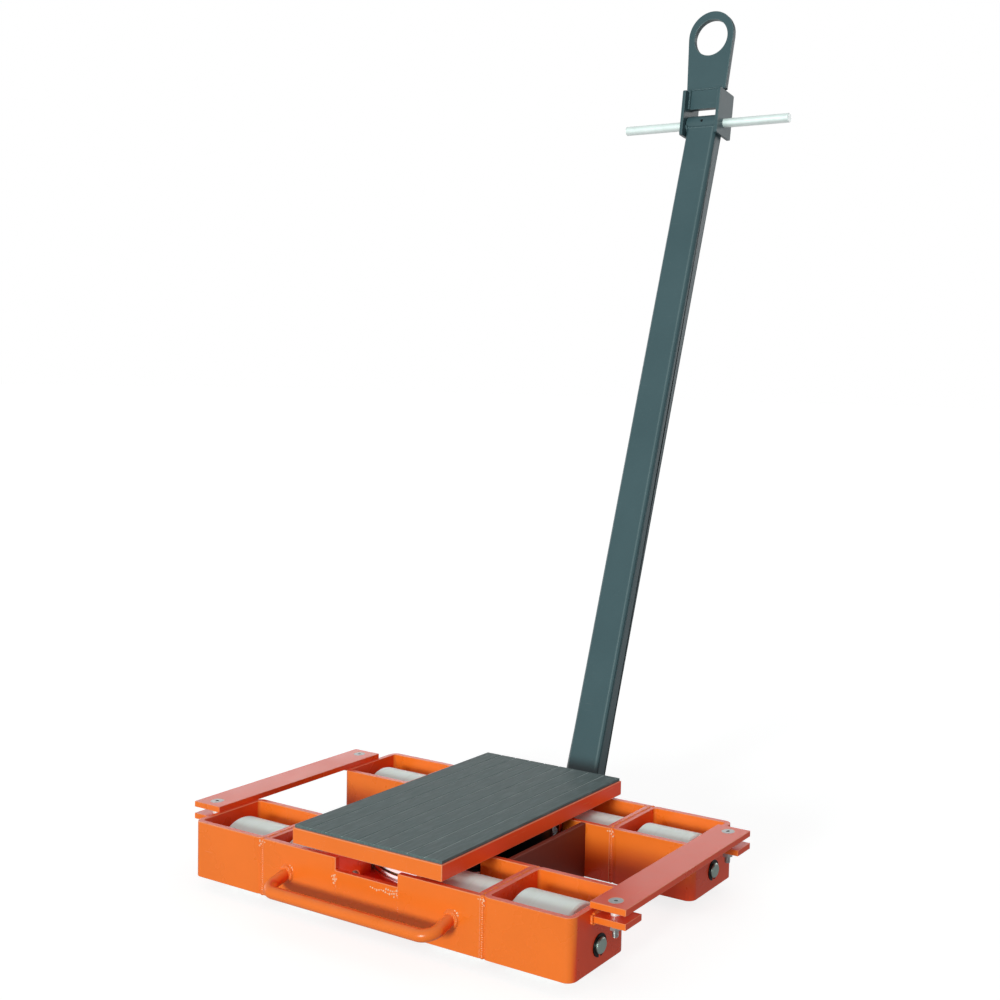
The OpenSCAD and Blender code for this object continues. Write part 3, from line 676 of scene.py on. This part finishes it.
for group in ("boxes", "plates", "fittings", "others"):
    for node in framePlates[group]:
        dressed(pieceName(node), node, frameBody, "frame paint", framePlates["edgeRadius"])
# The cross webs take the near-black red: painted shade
dressed("crossWebs", "cross_webs", frameBody, "painted shade web", framePlates["edgeRadius"])
print("frame plates dressed")

# Steel parts that stay with the frame
frameSteel = {
    "zinc plate": ("tie_bar_bolts", "tie_bar_washers", "tie_bar_nuts", "king_bolt", "king_nut",
                   "hinge_discs"),
    "bright steel": ("tie_bar_spacers", "axle_spacers", "hinge_pin"),
    "turned steel": ("axles",),
    "ground steel": ("bearing_inner_rings",),
    "black steel": ("axle_clips",),
}
for materialName, members in frameSteel.items():
    for node in members:
        dressed(pieceName(node), node, frameBody, materialName, 0.3, 2)

# Carrying handle: one round bar, bent twice, between its two roots in the front wall
handle = {
    "rootX": 138, "rootY": -196, "rootZ": -67.5, "barY": -238.8, "barZ": -78.2,
    "radius": 0.008, "bend": 0.018,
}
handleLine = [
    (side * handle["rootX"], y, z)
    for side, ends in ((-1, ("root", "bar")), (1, ("bar", "root")))
    for y, z in [(handle[end + "Y"], handle[end + "Z"]) for end in ends]
]
grown("carryingHandle", "bar", [handleLine], frameBody, "frame paint", ["carrying_handle"],
      Radius=handle["radius"], Bend=handle["bend"])

# Split pin of the hinge: one wire with a round eye, its ends spread
splitPin = {
    "x": 49.3, "y": 281.5, "radius": 0.00095, "bend": 0.0012,
    "half": [(4.8, -90.5), (1.0, -88), (1.0, -62.5), (3.5, -59.5), (3.1, -56), (0, -54)],
}
wire = [(splitPin["x"] - x, splitPin["y"], z) for x, z in splitPin["half"]]
wire += [(splitPin["x"] + x, splitPin["y"], z) for x, z in reversed(splitPin["half"][:-1])]
grown("hingeSplitPin", "bar", [wire], frameBody, "zinc plate", ["hinge_split_pin"],
      Radius=splitPin["radius"], Bend=splitPin["bend"], Sides=12)

# Threads below the nuts; the bolts are thinner there, so that the ridges stand out
boltThread = {
    "x": 337, "y": 142, "low": -65.7, "radius": 0.004, "pitch": 0.00125, "length": 0.0082,
    "thinner": 0.86, "thinTo": 0.6,
}
kingThread = {"low": -113.2, "radius": 0.010, "pitch": 0.0025, "length": 0.0036}
bolts = bpy.data.objects["tieBarBolts"].data
for vertex in bolts.vertices:
    if vertex.co.z < (boltThread["low"] + boltThread["thinTo"]) * mm:
        axis = Vector((
            math.copysign(boltThread["x"] * mm, vertex.co.x),
            math.copysign(boltThread["y"] * mm, vertex.co.y),
            vertex.co.z,
        ))
        vertex.co = axis + (vertex.co - axis) * boltThread["thinner"]
boltAxes = [[(sx * boltThread["x"], sy * boltThread["y"], boltThread["low"])]
            for sx in (-1, 1) for sy in (-1, 1)]
for name, points, data in (
    ("boltThreads", boltAxes, boltThread),
    ("kingThread", [[(0, 0, kingThread["low"])]], kingThread),
):
    grown(name, "thread", points, frameBody, "zinc plate",
          Radius=data["radius"], Pitch=data["pitch"], Length=data["length"])
print("handle, split pin and threads made")

# Welds of the frame, as lines along the seams
walls = {"low": -105.5, "top": -32.5, "joint": 182, "outside": 200, "inside": 84}
dividers = {"from": 94, "to": 190, "top": -32.6}
notch = {"x": 52, "y": -197.4, "top": -49, "face": -199.8}
barLugs = {"x": 316.2, "y": (127, 157), "z": (-38.2, -48.8),
           "sideX": 316, "sideY": (123, 161), "sideZ": (-47, -40)}
hingeLugs = {"x": 37.3, "half": 6.4, "y": 201.3, "z": (-94, -57)}
welds = {
    "seam": {"Radius": 0.0040, "Pitch": 0.0027, "Seed": 3},
    "flush": {"Radius": 0.0030, "Pitch": 0.0024, "Seed": 5},
    "fillet": {"Radius": 0.0026, "Pitch": 0.0021, "Seed": 8},
    "spots": {"Radius": 0.0013, "Pitch": 0.0034, "Overlap": 0.42, "Unevenness": 0.55, "Seed": 2},
}
sides = [(sx, sy) for sx in (-1, 1) for sy in (-1, 1)]


def upright(x, y, low, top):
    return [(x, y, low), (x, y, top)]


def ringLine(x, y, z, radius, steps=18):
    turns = [2 * math.pi * i / steps for i in range(steps + 1)]
    return [(x + radius * math.cos(t), y, z + radius * math.sin(t)) for t in turns]


def seamUpright(sx, y):
    # A seam beside the joint of a box, over the height of the wall
    return upright(sx * (walls["joint"] + 2.2), y, walls["low"], walls["top"])


seamLines = [seamUpright(sx, sy * (walls["outside"] - 3.2)) for sx, sy in sides]
dividerLines = [
    [(sx * walls["joint"], sy * dividers[end], dividers["top"]) for end in ("from", "to")]
    for sx, sy in sides
]
notchLines = [upright(sx * notch["x"], notch["y"], walls["low"], notch["top"])
              for sx in (-1, 1)]
notchLines += [seamUpright(sx, sy * (walls["inside"] + 2.6)) for sx, sy in sides]
filletLines = [ringLine(side * handle["rootX"], -200.6, -68.6, 9.0) for side in (-1, 1)]
for sx, sy in sides:
    for z in barLugs["z"]:
        filletLines.append([(sx * barLugs["x"], sy * y, z) for y in barLugs["y"]])
    for y in barLugs["sideY"]:
        filletLines.append(upright(sx * barLugs["sideX"], sy * y, *barLugs["sideZ"]))
    lugSide = hingeLugs["x"] + sy * hingeLugs["half"]
    filletLines.append(upright(sx * lugSide, hingeLugs["y"], *hingeLugs["z"]))

# Small drops of weld beside the notch, the joints and the handle, in pale paint that is a painted
# highlight
notchDrops = [
    [(-58, -56), (-52, -53), (-56, -60), (-50, -58), (-54, -64)],
    [(8, -56), (19, -58), (27, -56), (38, -59), (51, -56)],
    [(34, -53.5), (44, -54.5), (52, -52)],
    [(47, -61), (52, -58)],
]
spotLines = [[(x, notch["face"], z) for x, z in drops] for drops in notchDrops]
spotLines += [
    [(sx * (walls["joint"] - 3), y, -35), (sx * (walls["joint"] + 7), y, -34),
     (sx * (walls["joint"] + 3), y, -38), (sx * (walls["joint"] + 6), y, -41)]
    for sx in (-1, 1) for y in (-199.9, 83.9)
]
spotLines += [
    [(side * handle["rootX"] + 6, -199.9, -57), (side * handle["rootX"] + 11, -199.9, -60),
     (side * handle["rootX"] + 10, -199.9, -66)]
    for side in (-1, 1)
]
for name, kind, lines in (
    ("boxSeams", "seam", seamLines), ("dividerSeams", "flush", dividerLines),
    ("notchSeams", "flush", notchLines), ("fittingWelds", "fillet", filletLines),
    ("weldSpots", "spots", spotLines),
):
    # The spots take the painted highlight; the other welds take the frame paint
    beadPaintOrHighlight = "painted weld highlight" if kind == "spots" else "frame paint"
    grown(name, "weld", lines, frameBody, beadPaintOrHighlight, **welds[kind])


# Welds of the drawbar and of the fork, in lines that lean with them
def leaning(origin, lean, line):
    c, s = math.cos(math.radians(lean)), math.sin(math.radians(lean))
    return [(x, origin[0] + y * c + z * s, origin[1] - y * s + z * c) for x, y, z in line]


hinge = {"origin": (281.5, -75.5), "lean": 17.5, "rodUp": 1182}
fork = {"origin": (636.93, 1051.79), "lean": 8}
sleeve = {"halfX": 27, "halfY": 12.2, "below": 11.4, "endX": 30.4, "ring": 16.4}
shank = {"x": 30.9, "y": (-12.0, 0.0), "low": 28, "top": 60,
         "footX": 37, "footY": (-9.6, -2.4), "footZ": 62}
sleeveLines = [
    [(side * sleeve["halfX"], edge * sleeve["halfY"], hinge["rodUp"] - sleeve["below"])
     for side in (-1, 1)]
    for edge in (-1, 1)
]
for side in (-1, 1):
    turns = [math.radians(a) for a in range(209, 332, 6)]
    sleeveLines.append([
        (side * sleeve["endX"], sleeve["ring"] * math.cos(t),
         hinge["rodUp"] + sleeve["ring"] * math.sin(t))
        for t in turns
    ])
forkLines = [upright(side * shank["x"], y, shank["low"], shank["top"])
             for side in (-1, 1) for y in shank["y"]]
forkLines += [[(side * shank["footX"], y, shank["footZ"]) for side in (-1, 1)]
              for y in shank["footY"]]
for name, body, place, lines in (
    ("sleeveWelds", "drawbar", hinge, sleeveLines),
    ("forkWelds", "towing_fork", fork, forkLines),
):
    lines = [leaning(place["origin"], place["lean"], line) for line in lines]
    grown(name, "weld", lines, body, "drawbar paint", **welds["fillet"])
print("welds made")

# Turntable
turntableParts = {
    "load_plate": ("plate paint", 1.2), "rubber_pad": ("pad rubber", 0.3),
    "turntable_hub": ("black steel", 1.0), "upper_race": ("ground steel", 2.0),
}
for node, (materialName, width) in turntableParts.items():
    dressed(pieceName(node), node, "turntable", materialName, width)
dressed("lowerRace", "lower_race", frameBody, "ground steel", 1.1)
dressed("ballCage", "ball_cage", "ball_ring", "cage brass", 0.2, 2)

# Floors of the pad's grooves, which the rubber's colour makes paler in streaks
pad = bpy.data.objects["rubberPad"].data
groove = pad.attributes.new("groove", "FLOAT", "FACE")
grooveFloor = (-2.0 * mm, -0.3 * mm)
groove.data.foreach_set("value", [
    float(f.normal.z > 0.5 and grooveFloor[0] < f.center.z < grooveFloor[1]) for f in pad.polygons
])

ballRing = {"Count": 24, "Circle": 0.115, "Ball": 0.005, "Level": -0.0675}
grown("raceBalls", "balls", [[(0, 0, 0), (1, 0, 0)]], "ball_ring", "ground steel", ["race_balls"],
      **ballRing)

# Rollers
for i in range(1, 9):
    dressed(f"roller{i}", f"roller_{i}", f"roller_unit_{i}", "nylon", 0.8)
    dressed(f"bearings{i}", f"bearings_{i}", f"roller_unit_{i}", "ground steel", 0.3, 2)

# Drawbar and towing fork
drawbarParts = {
    "drawbar_tube": ("drawbar paint", 0.5), "hinge_bush": ("drawbar paint", 0.5),
    "rod_sleeve": ("drawbar paint", 0.6), "pull_rod": ("bright steel", 0.4),
    "rod_lock_pin": ("black steel", 0.3),
}
for node, (materialName, width) in drawbarParts.items():
    dressed(pieceName(node), node, "drawbar", materialName, width)

# The tube's corners are rolled from the radius of the solid to a larger one
tube = {"halfX": 30.0, "halfY": 15.0, "drawn": 3.0, "rolled": 7.5}
c, s = math.cos(math.radians(hinge["lean"])), math.sin(math.radians(hinge["lean"]))
for vertex in bpy.data.objects["drawbarTube"].data.vertices:
    x = vertex.co.x / mm
    y, z = vertex.co.y / mm - hinge["origin"][0], vertex.co.z / mm - hinge["origin"][1]
    across, along = y * c - z * s, y * s + z * c
    dx = abs(x) - tube["halfX"] + tube["drawn"]
    dy = abs(across) - tube["halfY"] + tube["drawn"]
    if min(dx, dy) > -0.01 and math.hypot(dx, dy) > 0.8 * tube["drawn"]:
        turn = math.atan2(max(dy, 0), max(dx, 0))
        x = math.copysign(tube["halfX"] - tube["rolled"] * (1 - math.cos(turn)), x)
        across = math.copysign(tube["halfY"] - tube["rolled"] * (1 - math.sin(turn)), across)
        vertex.co = Vector((
            x,
            hinge["origin"][0] + across * c + along * s,
            hinge["origin"][1] - across * s + along * c,
        )) * mm
for node in ("fork_cheeks", "towing_eye"):
    dressed(pieceName(node), node, "towing_fork", "drawbar paint", 1.0)
print("all nodes dressed")


# Light: an even pale room that reflections see brighter behind the object, one soft lamp in
# front of it, and a small panel behind the notch
lightSetup = {
    "room": 0.48, "backdrop": 1.0, "dimSide": 0.34, "brightSide": 2.2,
    "brightTo": (-0.50, 0.86, 0.10), "brightRamp": (0.15, 0.6), "brightBelow": (0.40, 0.30),
    "panel": 0.016, "panelSize": (0.093, 0.056), "panelPlace": (-0.0345, -0.161, -0.0800),
    "lamp": 1.95, "lampTo": (-0.04, 0.98, -0.19), "lampSpread": 14.0,
    "lampColor": (1.0, 1.2, 1.14),
    "floorBounce": (0.50, 0.50, 0.50, 1), "floorSeen": (1.85, 1.85, 1.85, 1),
    "floorMirrored": 0.34, "farMirrored": 0.80, "farFrom": 0.6, "farTo": 1.3,
    "floorShade": 0.2, "floorHalf": 60.0,
}


def addRoom(setup):
    world = bpy.data.worlds.new("room")
    world.use_nodes = True
    scene.world = world
    n = Nodes(world.node_tree)
    back = n.tree.nodes["Background"]
    back.inputs["Color"].default_value = (1, 1, 1, 1)
    path = n.add("ShaderNodeLightPath").outputs
    facing = n.add("ShaderNodeVectorMath", operation="DOT_PRODUCT")
    direction = n.add("ShaderNodeTexCoord").outputs["Generated"]
    n.join(direction, facing.inputs[0])
    facing.inputs[1].default_value = Vector(setup["brightTo"]).normalized()
    split = n.add("ShaderNodeSeparateXYZ")
    n.join(direction, split.inputs[0])
    low = n.ramp(split.outputs["Z"], *setup["brightBelow"])
    bright = n.math("MULTIPLY", n.ramp(facing.outputs["Value"], *setup["brightRamp"]), low)
    gain = setup["brightSide"] - setup["dimSide"]
    mirrored = n.math("MULTIPLY_ADD", bright, gain, setup["dimSide"])
    strength = n.mixFloat(path["Is Glossy Ray"], setup["room"], mirrored)
    n.join(n.mixFloat(path["Is Camera Ray"], strength, setup["backdrop"]), back.inputs["Strength"])


def addLamp(setup):
    lamp = bpy.data.lights.new("softLamp", "SUN")
    lamp.energy = setup["lamp"]
    lamp.color = setup["lampColor"]
    lamp.angle = math.radians(setup["lampSpread"])
    holder = bpy.data.objects.new("softLamp", lamp)
    holder.rotation_euler = Vector(setup["lampTo"]).to_track_quat("-Z", "Y").to_euler()
    scene.collection.objects.link(holder)


def addPanel(setup):
    # A small panel behind the notch, so that the races there have something bright to mirror
    lamp = bpy.data.lights.new("notchPanel", "AREA")
    lamp.shape = "RECTANGLE"
    lamp.energy = setup["panel"]
    lamp.size, lamp.size_y = setup["panelSize"]
    holder = bpy.data.objects.new("notchPanel", lamp)
    holder.location = setup["panelPlace"]
    holder.rotation_euler = Vector((0, 0, 1)).to_track_quat("-Z", "Y").to_euler()
    holder.visible_camera = False
    scene.collection.objects.link(holder)


def addFloor(setup):
    # White to the camera, with a faint shade under the object, an even glow in reflections,
    # and a plain matt floor to all other rays
    material = bpy.data.materials.new("pale floor")
    material.use_nodes = True
    n = Nodes(material.node_tree)
    n.tree.nodes.remove(n.tree.nodes["Principled BSDF"])
    path = n.add("ShaderNodeLightPath").outputs
    matt = n.add("ShaderNodeBsdfDiffuse")
    n.join(n.mixColor(path["Is Camera Ray"], setup["floorBounce"], setup["floorSeen"]),
           matt.inputs["Color"])
    away = n.add("ShaderNodeVectorMath", operation="LENGTH")
    n.join(n.add("ShaderNodeTexCoord").outputs["Object"], away.inputs[0])
    far = n.ramp(away.outputs["Value"], setup["farFrom"], setup["farTo"])
    mirrored = n.mixFloat(far, setup["floorMirrored"], setup["farMirrored"])
    glow = n.add("ShaderNodeEmission")
    n.join(n.mixFloat(path["Is Camera Ray"], mirrored, 1.0), glow.inputs["Strength"])
    shaded = n.mixFloat(path["Is Camera Ray"], n.math("SUBTRACT", 1.0, path["Is Glossy Ray"]),
                        setup["floorShade"])
    both = n.add("ShaderNodeMixShader")
    n.join(shaded, both.inputs[0])
    n.join(glow.outputs[0], both.inputs[1])
    n.join(matt.outputs[0], both.inputs[2])
    n.join(both.outputs[0], n.tree.nodes["Material Output"].inputs["Surface"])
    half = setup["floorHalf"]
    level = cadBox[0][2]
    turns = ((-1, -1), (1, -1), (1, 1), (-1, 1))
    corners = [(sx * half, sy * half, level) for sx, sy in turns]
    mesh = bpy.data.meshes.new("floor")
    mesh.from_pydata(corners, [], [(0, 1, 2, 3)])
    mesh.materials.append(material)
    newObject("floor", mesh)


addRoom(lightSetup)
addLamp(lightSetup)
addPanel(lightSetup)
addFloor(lightSetup)
scene.view_settings.view_transform = "Standard"
